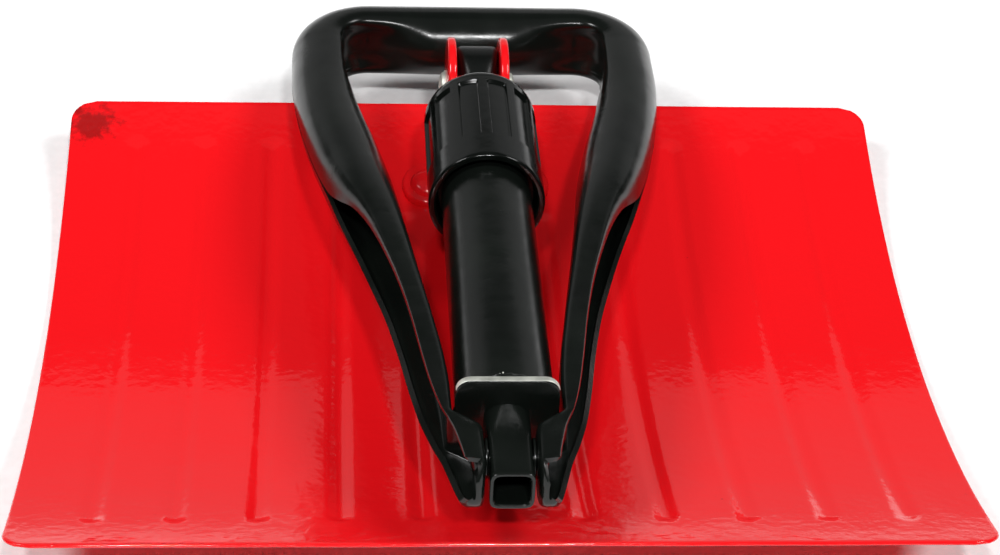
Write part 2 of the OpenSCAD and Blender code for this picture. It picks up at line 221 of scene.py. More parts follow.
# %% Material: moulded black ABS
black_plastic, tree, surface, place = new_material(
    "black_abs_moulded", IOR=1.54, Specular_IOR_Level=0.32)
flow = add(tree, "TexNoise", {"Vector": place}, Scale=per_mm(5), Detail=2)
tree.links.new(ramp(tree, flow.outputs["Fac"], 0.3, 0.75, linear("070A08"), linear("0B0E0C")),
               surface.inputs["Base Color"])
tree.links.new(ramp(tree, flow.outputs["Fac"], 0.3, 0.8, grey(0.12), grey(0.20)),
               surface.inputs["Roughness"])
bump = add(tree, "Bump", {"Height": flow.outputs["Fac"]}, Strength=0.08, Distance=0.0005)
tree.links.new(bump.outputs["Normal"], surface.inputs["Normal"])

# %% [markdown]
# ## Zinc plate and bare steel
# The hinge pin, its washers and the end plate are electroplated with zinc: a pale, slightly
# greenish metal under a dull film, with cloudy patches 3 to 6 mm wide. The tongue and the
# threaded sleeve are machined steel, blacked with oxide and oiled.

# %% Material: zinc plate and dark steel
zinc, tree, surface, place = new_material("zinc_electroplated_steel", Metallic=0.75)
cloud = add(tree, "TexNoise", {"Vector": place}, Scale=per_mm(4), Detail=4)
tree.links.new(ramp(tree, cloud.outputs["Fac"], 0.3, 0.7, linear("C6C9BF"), linear("ECEEE4")),
               surface.inputs["Base Color"])
tree.links.new(ramp(tree, cloud.outputs["Fac"], 0.3, 0.7, grey(0.38), grey(0.58)),
               surface.inputs["Roughness"])
bump = add(tree, "Bump", {"Height": cloud.outputs["Fac"]}, Strength=0.15, Distance=0.0003)
tree.links.new(bump.outputs["Normal"], surface.inputs["Normal"])

dark_steel, tree, surface, place = new_material(
    "black_oxide_machined_steel", Roughness=0.36, IOR=1.5, Specular_IOR_Level=0.25)
grain = add(tree, "TexNoise", {"Vector": place}, Scale=per_mm(1.2), Detail=4)
tree.links.new(ramp(tree, grain.outputs["Fac"], 0.3, 0.7, linear("060807"), linear("0A0D0B")),
               surface.inputs["Base Color"])
bump = add(tree, "Bump", {"Height": grain.outputs["Fac"]}, Strength=0.12, Distance=0.0003)
tree.links.new(bump.outputs["Normal"], surface.inputs["Normal"])
print("materials:", len(bpy.data.materials))

# %% [markdown]
# ## Turning numbers into meshes
# Almost every piece here is a grid of points wrapped into a skin: rings along a path, or rows
# across a sheet. One function makes the object, gives it a finish, seats it on its body and
# hides the CAD pieces it stands for. Edges sharper than 35 degrees stay crisp.

# %% Helpers for meshes
SHARP = math.radians(35)


def piece(name, points, faces, finish, body, slot, replaces, sharp=SHARP):
    """Makes one visible object of points in the blade's frame and seats it on its body."""
    mesh = bpy.data.meshes.new(name)
    mesh.from_pydata([tuple(p) for p in world(np.asarray(points))], [], [tuple(f) for f in faces])
    mesh.materials.append(finish)
    b = bmesh.new()
    b.from_mesh(mesh)
    bmesh.ops.recalc_face_normals(b, faces=b.faces)
    b.to_mesh(mesh)
    b.free()
    mesh.shade_smooth()
    mesh.set_sharp_from_angle(angle=sharp)
    obj = bpy.data.objects.new(name, mesh)
    bpy.context.scene.collection.objects.link(obj)
    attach(obj, body)
    if replaces:
        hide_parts(*replaces)
    print(f"{name}: {len(mesh.vertices)} points on {body}")
    return obj


def skin(rings, closed_round=True, closed_along=False):
    """Faces between rows of equal length: rings is an array (rows, points, 3)."""
    rows, n = rings.shape[:2]
    faces = []
    for r in range(rows if closed_along else rows - 1):
        for i in range(n if closed_round else n - 1):
            a, b = r * n + i, r * n + (i + 1) % n
            c, d = ((r + 1) % rows) * n + i, ((r + 1) % rows) * n + (i + 1) % n
            faces.append((a, b, d, c))
    return faces


def capped(rings):
    """Faces of a skin of rings with a cap over each end."""
    rows, n = rings.shape[:2]
    return skin(rings) + [tuple(range(n)), tuple(range((rows - 1) * n, rows * n))]


def smooth_step(x, a, b):
    """Rises from 0 at a to 1 at b, level at both ends."""
    t = np.clip((np.asarray(x, float) - a) / (b - a), 0, 1)
    return t * t * (3 - 2 * t)


def lathe(profile, place_ring, n=72):
    """Turns a profile of (station, radius) pairs; place_ring puts (station, x, y) in the frame."""
    turn = np.linspace(0, 2 * math.pi, n, endpoint=False)
    rings = np.array([[place_ring(s, r * math.cos(t), r * math.sin(t)) for t in turn]
                      for s, r in profile])
    return rings


def along_shaft(s, a, b):
    """Station s from the hinge pin towards the free edge, a across, b up."""
    return (a, PIN_Y - s, SHAFT_Z + b)


def across_at(y, z):
    """A place function for things that turn about a cross pin."""
    return lambda s, a, b: (s, y + a, z + b)


def rounded(points, radius, steps=4):
    """Rounds the corners of a profile of (station, radius) pairs, except its two ends."""
    out = [points[0]]
    for p, q, r in zip(points, points[1:], points[2:]):
        p, q, r = map(np.array, (p, q, r))
        before, after = p - q, r - q
        cut = min(radius, np.linalg.norm(before) * 0.49, np.linalg.norm(after) * 0.49)
        a = q + before / np.linalg.norm(before) * cut
        c = q + after / np.linalg.norm(after) * cut
        for k in range(steps + 1):
            t = k / steps
            out.append(tuple((1 - t) ** 2 * a + 2 * t * (1 - t) * q + t * t * c))
    out.append(points[-1])
    return out


# %% [markdown]
# ## The blade
# A sheet rolled to one arc, with ten ribs pressed out of its back to stiffen it. Seen from the
# hollow side a rib is a shallow round-ended groove. The sheet could be a plane with a
# displacement, but a grid that is computed keeps the exact arc, the corner radius and the
# thickness. The depth at a point depends only on its distance from the rib's centre line, so
# the ends come out round by themselves. Last, a half-round rim closes the edge as thick paint does.

# %% Blade
CORNER_R, RIB_MARGIN, SHORT_RIB_END = 9.0, 20.0, 188.0
half_arc = math.asin(BLADE_LEN / 2 / ARC_R)
rib_arc = math.asin((BLADE_LEN / 2 - RIB_MARGIN) / ARC_R)
short_arc = math.asin((SHORT_RIB_END - ARC_Y) / ARC_R)
NX, NY = 325, 187


def rib_depth(x, s):
    """Depth of the groove at x across and s along the arc, in mm."""
    depth = np.zeros(np.broadcast(x, s).shape)
    for n in (-5, -4, -3, -2, -1, 1, 2, 3, 4, 5):
        far = short_arc if abs(n) == 1 else rib_arc
        past = np.maximum(np.maximum(s - far * ARC_R, -rib_arc * ARC_R - s), 0)
        t = np.clip(np.hypot(x - n * RIB_GAP, past) / (RIB_W / 2), 0, 1)
        depth += RIB_DEPTH * (0.5 + 0.5 * np.cos(math.pi * t))
    return depth


def sheet_wave(x, s):
    """Rolled and pressed sheet is never quite true: long ripples of about a tenth of a millimetre."""
    return (0.05 * np.sin(x / 17 + 0.8 * np.sin(s / 31)) * np.cos(s / 23)
            + 0.03 * np.sin(x / 7.3 + s / 41 + 1.0) + 0.03 * np.cos(s / 9.1 + np.sin(x / 29)))


def on_blade(x, s, above):
    """A point at x across, s along the arc, and a height above the hollow face."""
    angle = s / ARC_R
    r = ARC_R - above
    return np.stack([x + 0 * s, ARC_Y + r * np.sin(angle), ARC_Z - r * np.cos(angle)], -1)


def blade_grid(inset, above):
    """The sheet's points, this far in from its outline and this far above its hollow face."""
    half_s = half_arc * ARC_R - inset
    s = np.linspace(-half_s, half_s, NY)[:, None]
    r = CORNER_R - inset
    d = np.clip(np.abs(s) - (half_s - r), 0, r)
    half_x = BLADE_W / 2 - inset - (r - np.sqrt(np.maximum(r * r - d * d, 0)))
    x = np.linspace(-1, 1, NX)[None, :] * half_x
    return on_blade(x, s, above - rib_depth(x, s) + sheet_wave(x, s))


def edge_loop(rows, cols):
    """The border of a grid, once round, as (row, column) pairs."""
    top = [(0, c) for c in range(cols)]
    right = [(r, cols - 1) for r in range(1, rows)]
    bottom = [(rows - 1, c) for c in range(cols - 2, -1, -1)]
    left = [(r, 0) for r in range(rows - 2, 0, -1)]
    return top + right + bottom + left


rim_r = SHEET_T / 2
top_face, low_face = blade_grid(rim_r, 0.0), blade_grid(rim_r, -SHEET_T)
grid_faces = skin(top_face, closed_round=False)
loop = edge_loop(NY, NX)
count = NX * NY
points = [top_face.reshape(-1, 3), low_face.reshape(-1, 3)]
faces = grid_faces + [tuple(i + count for i in f) for f in grid_faces]
rim_rows = [[r * NX + c for r, c in loop]]
for k in range(1, 6):
    angle = math.pi * k / 6
    ring = blade_grid(rim_r * (1 - math.sin(angle)), -rim_r * (1 - math.cos(angle)))
    start = sum(len(p) for p in points)
    points.append(np.array([ring[r, c] for r, c in loop]))
    rim_rows.append(list(range(start, start + len(loop))))
rim_rows.append([r * NX + c + count for r, c in loop])
for a, b in zip(rim_rows, rim_rows[1:]):
    n = len(a)
    faces += [(a[i], a[(i + 1) % n], b[(i + 1) % n], b[i]) for i in range(n)]
piece("blade_sheet", np.concatenate(points), faces, red_enamel, "blade", "red_enamel", ["blade"])

# %% [markdown]
# ## The hinge bracket
# One steel blank bent into a U: a floor that follows the blade's curve, two round rivet tabs,
# and two ears that carry the hinge pin. A plate helper fills an outline, thickens it and rounds
# its edges. The floor is then cut into strips and laid on the arc.

# %% Plates from outlines


def plate(outline, thickness, bevel, cuts=()):
    """A flat plate from z 0 to thickness, with rounded edges. cuts are y values to slice at."""
    b = bmesh.new()
    ring = [b.verts.new((x, y, 0)) for x, y in outline]
    face = b.faces.new(ring)
    up = bmesh.ops.extrude_face_region(b, geom=[face])
    bmesh.ops.translate(b, verts=[v for v in up["geom"] if isinstance(v, bmesh.types.BMVert)],
                        vec=(0, 0, thickness))
    bmesh.ops.recalc_face_normals(b, faces=b.faces)
    rims = [e for e in b.edges if e.calc_face_angle(0) > 1.2]
    bmesh.ops.bevel(b, geom=rims, offset=bevel, segments=3, profile=0.5, affect="EDGES")
    for y in cuts:
        bmesh.ops.bisect_plane(b, geom=b.verts[:] + b.edges[:] + b.faces[:],
                               plane_co=(0, y, 0), plane_no=(0, 1, 0))
    bmesh.ops.triangulate(b, faces=[f for f in b.faces if len(f.verts) > 4])
    b.verts.index_update()
    points = np.array([v.co for v in b.verts])
    faces = [[v.index for v in f.verts] for f in b.faces]
    b.free()
    return points, faces


def arc_points(cx, cy, r, a0, a1, n):
    """n points on an arc between two angles in degrees."""
    return [(cx + r * math.cos(math.radians(a)), cy + r * math.sin(math.radians(a)))
            for a in np.linspace(a0, a1, n)]


def floor_z(y, above):
    """Height, at y, of the arc that lies this far above the blade's hollow face."""
    return ARC_Z - np.sqrt((ARC_R - above) ** 2 - (y - ARC_Y) ** 2)


def joined(*parts):
    """Joins several (points, faces) into one."""
    points, faces, start = [], [], 0
    for p, f in parts:
        points.append(np.asarray(p).reshape(-1, 3))
        faces += [tuple(i + start for i in face) for face in f]
        start += len(points[-1])
    return np.concatenate(points), faces


# %% Bracket: floor, tabs and ears
EAR_R, EAR_T, EAR_GAP, TAB_R, RIVET_X, RIVET_Y = 17.6, 3.0, 15.4, 9.3, 16.9, 203.0
BRACKET_Y0, BRACKET_Y1 = 193.4, 238.6
half_floor = EAR_GAP / 2 + EAR_T
reach = math.degrees(math.acos((half_floor - RIVET_X) / TAB_R))
right_tab = arc_points(RIVET_X, RIVET_Y, TAB_R, -90, reach, 22)
outline = [(0, BRACKET_Y0 + 0.3)] + right_tab + [(half_floor, BRACKET_Y1)]
outline += [(-x, y) for x, y in reversed(outline[1:])]
flat, floor_faces = plate(outline, EAR_T, 0.7, cuts=np.arange(196, 238, 3.5))
floor = flat.copy()
floor[:, 2] = floor_z(flat[:, 1], flat[:, 2])

flat_r = EAR_R - 0.4
side_y = np.linspace(BRACKET_Y0 + 0.5, PIN_Y + flat_r, 16)
ear_outline = [(y, float(floor_z(y, 0.4))) for y in side_y]
ear_outline += [(y, z) for y, z in arc_points(PIN_Y, SHAFT_Z, EAR_R, 12, 168, 40)]
lip_z = float(floor_z(205.0, 6.0))
ear_outline += [(PIN_Y - flat_r, SHAFT_Z), (PIN_Y - flat_r, lip_z + 6)]
ear_outline += arc_points(PIN_Y - flat_r - 5, lip_z + 6, 5, 0, -78, 7)
ear_outline += [(BRACKET_Y0 + 0.8, float(floor_z(BRACKET_Y0, 6.0)))]
flat_ear, ear_faces = plate(ear_outline, EAR_T, 0.9)
ears = []
for side in (-1, 1):
    x = side * (EAR_GAP / 2 + EAR_T / 2) + (flat_ear[:, 2] - EAR_T / 2)
    ears.append((np.stack([x, flat_ear[:, 0], flat_ear[:, 1]], -1), ear_faces))
points, faces = joined((floor, floor_faces), *ears)
piece("hinge_bracket_pressing", points, faces, red_enamel, "blade", "red_enamel",
      ["hinge_bracket"])

# %% [markdown]
# ## Rivets and pins
# A rivet head is a low dome, a little flattened where the tool struck it. Each is a lathe
# profile. The blade's rivets were sprayed over with the blade, so they are red; the hinge pin
# and its washers were fitted later and stay zinc.

# %% Rivets, hinge pin and washers


def dome(base, radius, height, direction=1, steps=10):
    """Profile of a low dome standing on station base."""
    return [(base, radius)] + [
        (base + direction * height * (0.25 + 0.75 * math.sin(math.pi / 2 * k / steps)),
         radius * (0.06 + 0.92 * math.cos(math.pi / 2 * k / steps))) for k in range(steps + 1)]


def rivet_place(x):
    """A place function for things that stand square to the blade at a rivet."""
    angle = math.asin((RIVET_Y - ARC_Y) / ARC_R)

    def at(s, a, b):
        r = ARC_R - s
        y, z = r * math.sin(angle), -r * math.cos(angle)
        return (x + a, ARC_Y + y + b * math.cos(angle), ARC_Z + z + b * math.sin(angle))
    return at


def closed_lathe(profile, place_ring, n=48):
    """A turned solid, flat at both ends."""
    rings = lathe(profile, place_ring, n)
    return rings.reshape(-1, 3), capped(rings)


parts = []
for x in (-RIVET_X, RIVET_X):
    parts.append(closed_lathe(rounded([(EAR_T - 0.3, 6.6), (EAR_T + 0.25, 6.5)], 0.2)
                              + dome(EAR_T + 0.3, 6.1, 2.6)[1:], rivet_place(x)))
    parts.append(closed_lathe(dome(-SHEET_T - 0.05, 5.0, 1.8, -1), rivet_place(x)))
points, faces = joined(*parts)
piece("blade_rivet_heads", points, faces, red_enamel, "blade", "red_enamel", ["blade_rivets"])

HINGE_PIN_R = 4.0
ear_out = EAR_GAP / 2 + EAR_T
parts = [closed_lathe([(-ear_out, HINGE_PIN_R), (ear_out, HINGE_PIN_R)],
                      across_at(PIN_Y, SHAFT_Z))]
for d in (-1, 1):
    parts.append(closed_lathe(dome(d * (ear_out + 1), 5.2, 1.8, d), across_at(PIN_Y, SHAFT_Z)))
points, faces = joined(*parts)
piece("hinge_pin_headed", points, faces, zinc, "blade", "zinc", ["hinge_pin"])


def washer(inner_r, outer_r, s0, s1, place_ring, edge=0.2):
    """A turned ring with a hole, its outer edges rounded."""
    profile = rounded([(s0 + 0.01, inner_r), (s0, (inner_r + outer_r) / 2), (s0, outer_r),
                       (s1, outer_r), (s1, (inner_r + outer_r) / 2), (s1 - 0.01, inner_r)], edge, 2)
    rings = lathe(profile, place_ring, 56)
    return rings.reshape(-1, 3), skin(rings, closed_along=True)


parts = [washer(4.05, 5.8, d * ear_out, d * (ear_out + 1), across_at(PIN_Y, SHAFT_Z))
         for d in (-1, 1)]
points, faces = joined(*parts)
piece("hinge_washers", points, faces, zinc, "blade", "zinc", ["hinge_pin_washers"])

# %% [markdown]
# ## Shaft
# A plain welded tube in black enamel, closed at the free end by a square plate sheared from strip.
# Its upper edge is given pale zinc: partly bare metal, partly a painted highlight of the light from
# above.
# The side edges stay black with the faces, as painted shade. A weld bead joins the two, with a few
# spatter grains on top, coloured pale zinc as painted highlights.

# %% Shaft tube and threaded sleeve
TUBE_R, TUBE_START, PLATE_Y0, PLATE_Y1 = 15.0, 39.0, 30.6, 33.4
plate_s = PIN_Y - PLATE_Y1
inner_r = TUBE_R - 1.5
profile = [(TUBE_START, inner_r), (TUBE_START, TUBE_R)]
profile += [(s, TUBE_R) for s in np.linspace(TUBE_START + 1, plate_s, 60)]
profile += [(plate_s, inner_r)]
rings = lathe(profile, along_shaft, 96)
piece("shaft_tube_skin", rings.reshape(-1, 3), skin(rings, closed_along=True), black_enamel,
      "shaft", "black_enamel", ["shaft_tube"])

PITCH, THREAD_R, ROOT_R = 4.0, 16.7, 15.9
SLEEVE_END, SLEEVE_BORE = 69.0, 15.02
turns = np.linspace(0, 2 * math.pi, 72, endpoint=False)
stations = np.linspace(TUBE_START, SLEEVE_END, 150)
rings = []
for s in stations:
    phase = (s / PITCH - turns / (2 * math.pi)) * 2 * math.pi
    fade = smooth_step(s, TUBE_START, TUBE_START + 2) * (1 - smooth_step(s, SLEEVE_END - 2, SLEEVE_END))
    r = ROOT_R + (THREAD_R - ROOT_R) * fade * np.clip(0.5 + 0.9 * np.cos(phase), 0, 1)
    rings.append([along_shaft(s, q * math.cos(t), q * math.sin(t)) for q, t in zip(r, turns)])
for s in (SLEEVE_END, TUBE_START):
    rings.append([along_shaft(s, SLEEVE_BORE * math.cos(t), SLEEVE_BORE * math.sin(t))
                  for t in turns])
rings = np.array(rings)
piece("threaded_sleeve_skin", rings.reshape(-1, 3), skin(rings, closed_along=True), dark_steel,
      "shaft", "dark_steel", ["threaded_sleeve"])

# %% [markdown]
# ## End plate, weld and stub
# The stub is a smaller tube whose end is squared off in a press, left open. Each ring is a
# superellipse whose exponent grows from 2, a circle, to 5.6, a rounded square. The plate's
# black faces and its pale upper edge, partly a painted highlight, are two materials on one mesh.

# %% End plate and weld
PLATE_W = 30.8


def rounded_square(half, r, n=8):
    """Outline of a square with round corners."""
    pts = []
    for cx, cy, a in ((1, 1, 0), (-1, 1, 90), (-1, -1, 180), (1, -1, 270)):
        pts += arc_points(cx * (half - r), cy * (half - r), r, a, a + 90, n)
    return pts


flat, faces = plate(rounded_square(PLATE_W / 2, 4.6), PLATE_Y1 - PLATE_Y0, 0.65)
points = np.stack([flat[:, 0], PLATE_Y1 - flat[:, 2], SHAFT_Z + flat[:, 1]], -1)
end_plate = piece("end_plate_sheared", points, faces, zinc, "shaft", "zinc", ["end_plate"])
end_plate.data.materials.append(black_enamel)
shaft_axis = Vector((0, -math.cos(REST_TILT), math.sin(REST_TILT)))
# Edge faces that look up take the pale zinc, partly as a painted highlight of the light above; the side
# edges take the black as painted shade.
for face in end_plate.data.polygons:
    lit_bare_edge = abs(face.normal.dot(shaft_axis)) < 0.6 and face.normal.z > 0.3
    face.material_index = 0 if lit_bare_edge else 1

rng = np.random.default_rng(7)
bead_turns = 140
rings = []
for k in range(bead_turns):
    t = 2 * math.pi * k / bead_turns
    swell = 1 + 0.22 * math.sin(26 * t) + 0.10 * rng.normal()
    ring = []
    for m in range(8):
        a = 2 * math.pi * m / 8
        r = TUBE_R + 0.10 + 0.62 * swell * math.cos(a)
        s = plate_s - 0.45 + 0.62 * swell * math.sin(a)
        ring.append(along_shaft(s, r * math.cos(t), r * math.sin(t)))
    rings.append(ring)
rings = np.array(rings)
bead = (rings.reshape(-1, 3), skin(rings, closed_along=True))


def glinting_spatter_grain(centre, r):
    """A small round grain of weld spatter, a little flattened; the grains are given pale zinc as
    painted highlights.
    """
    turns = np.linspace(0, 2 * math.pi, 8, endpoint=False)
    rings = np.array([[(centre[0] + r * math.cos(t) * math.cos(p),
                        centre[1] + r * math.sin(t) * math.cos(p),
                        centre[2] + 0.8 * r * math.sin(p)) for t in turns]
                      for p in np.linspace(-1.3, 1.3, 6)])
    return rings.reshape(-1, 3), capped(rings)


# Grains of spatter on top of the tube; their pale zinc colour is a painted highlight.
GRAIN_R = 0.32
spatter_glints = []
for k in range(7):
    x = -3.5 + 1.2 * k + 0.5 * rng.normal()
    y = PLATE_Y1 + 0.7 + 0.9 * abs(rng.normal())
    spatter_glints.append(glinting_spatter_grain((x, y, SHAFT_Z + math.sqrt(TUBE_R ** 2 - x * x)), GRAIN_R))
piece("plate_weld_bead", *bead, black_enamel, "shaft", "black_enamel", ["plate_weld"])
points, faces = joined(*spatter_glints)
# The grains take the pale zinc finish as painted highlights.
piece("weld_spatter_glints", points, faces, zinc, "shaft", "zinc", [])

# %% Stub tube
STUB_END_Y, STUB_R, STUB_HALF, STUB_WALL = -0.5, 7.0, 6.5, 1.2


def super_ring(half, turns, power):
    """A superellipse: a circle for power 2, nearly a square for a high power."""
    c, s = np.cos(turns), np.sin(turns)
    return (half * np.sign(c) * np.abs(c) ** (2 / power),
            half * np.sign(s) * np.abs(s) ** (2 / power))


turns = np.linspace(0, 2 * math.pi, 72, endpoint=False)
rings = []
start_s, end_s = 150.0, PIN_Y - STUB_END_Y
outer = list(np.linspace(start_s, end_s - 0.35, 44)) + [end_s - 0.12, end_s]
inner = [end_s - 0.1] + list(np.linspace(end_s - 0.5, start_s, 30))
for side, stations in ((0, outer), (1, inner)):
    for s in stations:
        square = float(smooth_step(s, 186.0, 206.0))
        half = STUB_R + (STUB_HALF - STUB_R) * square - side * STUB_WALL
        if side == 0 and s > end_s - 0.3:
            half -= 0.12 if s < end_s else 0.4
        if side == 1 and s > end_s - 0.3:
            half += 0.3
        a, b = super_ring(half, turns, 2 + 3.6 * square)
        rings.append([along_shaft(s, u, v) for u, v in zip(a, b)])
rings = np.array(rings)
piece("stub_tube_skin", rings.reshape(-1, 3), skin(rings, closed_along=True), black_enamel,
      "shaft", "black_enamel", ["stub_tube"])

# %% [markdown]
# ## Hinge tongue
# The bar that turns between the ears. Its eye is a flat disc 15 mm wide, its top edges are
# ground off more and more towards the collar, and there it ends up close to an oval. A loft of
# superellipses with a falling exponent does that in one skin.

# %% Hinge tongue
TONGUE_R, TONGUE_W, WAIST = 14.5, 15.0, 18.0
eye_stations = -TONGUE_R + 0.15 + (np.linspace(0, 1, 14) ** 1.7) * TONGUE_R
bar_stations = np.linspace(1, 39, 30)
rings = []
for s in np.concatenate([eye_stations, bar_stations]):
    high = math.sqrt(max(TONGUE_R ** 2 - s * s, 0.0)) if s < 0 else \
        TONGUE_R + (WAIST / 2 - TONGUE_R) * float(smooth_step(s, 2, 17))
    power = 9.0 - 6.2 * float(smooth_step(s, -9, 16))
    half = TONGUE_W / 2 - 1.6 * float(smooth_step(s, -6, 14)) + 1.2 * float(smooth_step(s, 20, 30))
    c, q = np.cos(turns), np.sin(turns)
    a = half * np.sign(c) * np.abs(c) ** (2 / power)
    b = max(high, 0.6) * np.sign(q) * np.abs(q) ** (2 / power)
    rings.append([along_shaft(s, u, v) for u, v in zip(a, b)])
rings = np.array(rings)
piece("hinge_tongue_bar", rings.reshape(-1, 3), capped(rings), dark_steel, "shaft", "dark_steel",
      ["hinge_tongue"])

# %% [markdown]
# ## Lock collar
# A moulded sleeve with a domed shoulder, a gripping zone of recessed panels between narrow
# ribs, and a plain band at its mouth. The radius is a function of the angle and the station:
# the panels sink 1 mm behind steep walls 0.4 mm wide. A bore makes it a real tube.

# %% Lock washer and collar
COLLAR_R, COLLAR_LEN, COLLAR_S = 19.5, 57.0, 18.2
PANELS, PANEL_DEPTH, PANEL_WALL, RIB_HALF = 12, 1.0, 0.4, 1.5
NOSE_R, NOSE_BORE, NOSE_MOUTH, BORE = 6.0, 12.4, 14.6, 17.0
PANEL_0, PANEL_1 = 8.5, 43.0


def collar_outside(s):
    """Radius of the collar's body at a station from its far end."""
    if s < NOSE_R:
        return COLLAR_R - NOSE_R + math.sqrt(max(NOSE_R ** 2 - (NOSE_R - s) ** 2, 0.0))
    lip = COLLAR_LEN - s
    if lip < 0.8:
        return COLLAR_R - 0.8 + math.sqrt(max(0.64 - (0.8 - lip) ** 2, 0.0))
    return COLLAR_R


N_TURN = PANELS * 40
turns = np.linspace(0, 2 * math.pi, N_TURN, endpoint=False)
half_panel = math.pi / PANELS
from_middle = np.abs((turns % (2 * half_panel)) - half_panel)
panel_edge = half_panel - RIB_HALF / COLLAR_R
in_panel_turn = 1 - smooth_step(from_middle, panel_edge - PANEL_WALL / COLLAR_R, panel_edge)
nose = NOSE_R * (1 - np.cos(np.linspace(0, math.pi / 2, 10)))
lip = COLLAR_LEN - 0.8 + 0.8 * np.sin(np.linspace(0, math.pi / 2, 6))
stations = np.unique(np.concatenate([
    nose, np.linspace(NOSE_R, PANEL_0 - 0.6, 4), np.linspace(PANEL_0 - 0.5, PANEL_0 + 1.5, 9),
    np.linspace(PANEL_0 + 2, PANEL_1 - 2, 30), np.linspace(PANEL_1 - 1.0, PANEL_1 + 0.3, 14),
    np.linspace(PANEL_1 + 1, COLLAR_LEN - 0.8, 10), lip]))
rings = []
for s in stations:
    along = smooth_step(s, PANEL_0, PANEL_0 + 0.8) * (1 - smooth_step(s, PANEL_1 - 0.35, PANEL_1))
    r = collar_outside(s) - PANEL_DEPTH * float(along) * in_panel_turn
    rings.append([along_shaft(COLLAR_S + s, q * math.cos(t), q * math.sin(t))
                  for q, t in zip(r, turns)])
for s, r in ((COLLAR_LEN, BORE + 0.6), (COLLAR_LEN - 0.7, BORE), (6.2, BORE), (6.0, NOSE_BORE + 0.3),
             (5.8, NOSE_BORE), (2.2, NOSE_BORE), (2.15, NOSE_MOUTH), (0.02, NOSE_MOUTH - 1.05)):
    rings.append([along_shaft(COLLAR_S + s, r * math.cos(t), r * math.sin(t)) for t in turns])
rings = np.array(rings)
piece("lock_collar_moulding", rings.reshape(-1, 3), skin(rings, closed_along=True), black_plastic,
      "collar", "black_plastic", ["lock_collar"])

outer_ring, hole = 14.4, (TONGUE_W / 2 + 0.2, WAIST / 2 + 0.2)
turns = np.linspace(0, 2 * math.pi, 72, endpoint=False)
washer_profile = ((17.95, 0), (17.9, 1), (17.9, 2), (18.1, 3),
                  (20.1, 3), (20.3, 2), (20.3, 1), (20.25, 0))
rings = []
for s, which in washer_profile:
    c, q = np.cos(turns), np.sin(turns)
    box_r = np.minimum(hole[0] / np.maximum(np.abs(c), 1e-6), hole[1] / np.maximum(np.abs(q), 1e-6))
    r = (box_r, box_r + 0.15, outer_ring - 0.2 + 0 * c, outer_ring + 0 * c)[which]
    rings.append([along_shaft(s, k * math.cos(t), k * math.sin(t)) for k, t in zip(r, turns)])
rings = np.array(rings)
piece("lock_washer_plate", rings.reshape(-1, 3), skin(rings, closed_along=True), zinc, "washer",
      "zinc", ["lock_washer"])

# %% [markdown]
# ## The D-handle
# One strip of steel rolled into a tube for the grip, bent round two corners, and flattened into
# open channels for the legs. It is a loft: every ring is an open C of sheet, walked out along
# its outside and back along its inside. A short table says how wide, how tall and how square
# the ring is at each distance from the pivot, and a smooth curve through it fills in the rest.
# Bending a tube dents its inner side, so the rings at the corners sink inwards there. The rivet
# through the legs went in before painting, so it and its washers are black.

# %% D-handle: its table
GRIP_R, CORNER_BEND, HALF_W, WALL = 12.6, 16.0, 66.2, 1.5
CORNER_DENT, DENT_FADE = 0.62, 24.0
LEGS = np.array([
    # along, inner, outer, height, power, open above, open below, upper flange narrower, dent
    (-15.4, 8.9, 12.9, 8.6, 3, 120, 40, 0, 0),
    (-14.6, 8.4, 13.4, 12, 4, 115, 35, 0, 0),
    (-12.6, 7.8, 14.5, 15.4, 5, 110, 32, 0, 0),
    (-10.6, 7.6, 15.2, 16.6, 6, 104, 32, 0, 0),
    (-9.0, 7.5, 15.7, 16.8, 6, 48, 32, 1.6, 0),
    (0, 7.5, 18.0, 17, 6, 40, 32, 2.4, 0),
    (5.5, 7.6, 19.4, 17, 6, 40, 32, 2.6, 0),
    (9.5, 11.6, 20.6, 17, 6, 40, 32, 2.6, 0),
    (13.2, 16.2, 21.8, 17, 6, 40, 32, 2.6, 0),
    (26, 16.4, 25.4, 17.2, 6, 40, 32, 3.1, 0),
    (40, 17.4, 28.0, 17.8, 6, 40, 32, 3.4, 0),
    (60, 20.0, 31.0, 19, 6, 40, 32, 3.5, 0),
    (80, 22.8, 34.7, 20.4, 5, 38, 32, 3.3, 0),
    (100, 25.6, 39.6, 22, 4.5, 34, 30, 3.1, 0),
    (113, 27.3, 43.2, 23, 3.8, 28, 25, 2.8, 0),
    (125, 28.8, 47.0, 23.8, 3.2, 20, 18, 2.1, 0),
    (134, 29.8, 50.2, 24.3, 2.7, 10, 9, 1.1, 0),
    (143, 30.9, 53.0, 24.6, 2.3, 3, 3, 0.3, 0),
    (155, 32.8, 56.4, 24.8, 2, 1.5, 1.5, 0, 0),
    (170, 35.8, 59.8, 24.8, 2, 1.5, 1.5, 0, 0),
    (185, 38.8, 62.6, 24.8, 2, 1.5, 1.5, 0, 0.05),
    (200, 40.9, 64.6, 24.8, 2, 1.5, 1.5, 0, 0.15),
    (216, 41.4, 65.9, 25, 2, 1.5, 1.5, 0, 0.38),
    (228, 41.2, 66.1, 25.1, 2, 1.5, 1.5, 0, 0.55),
], float)


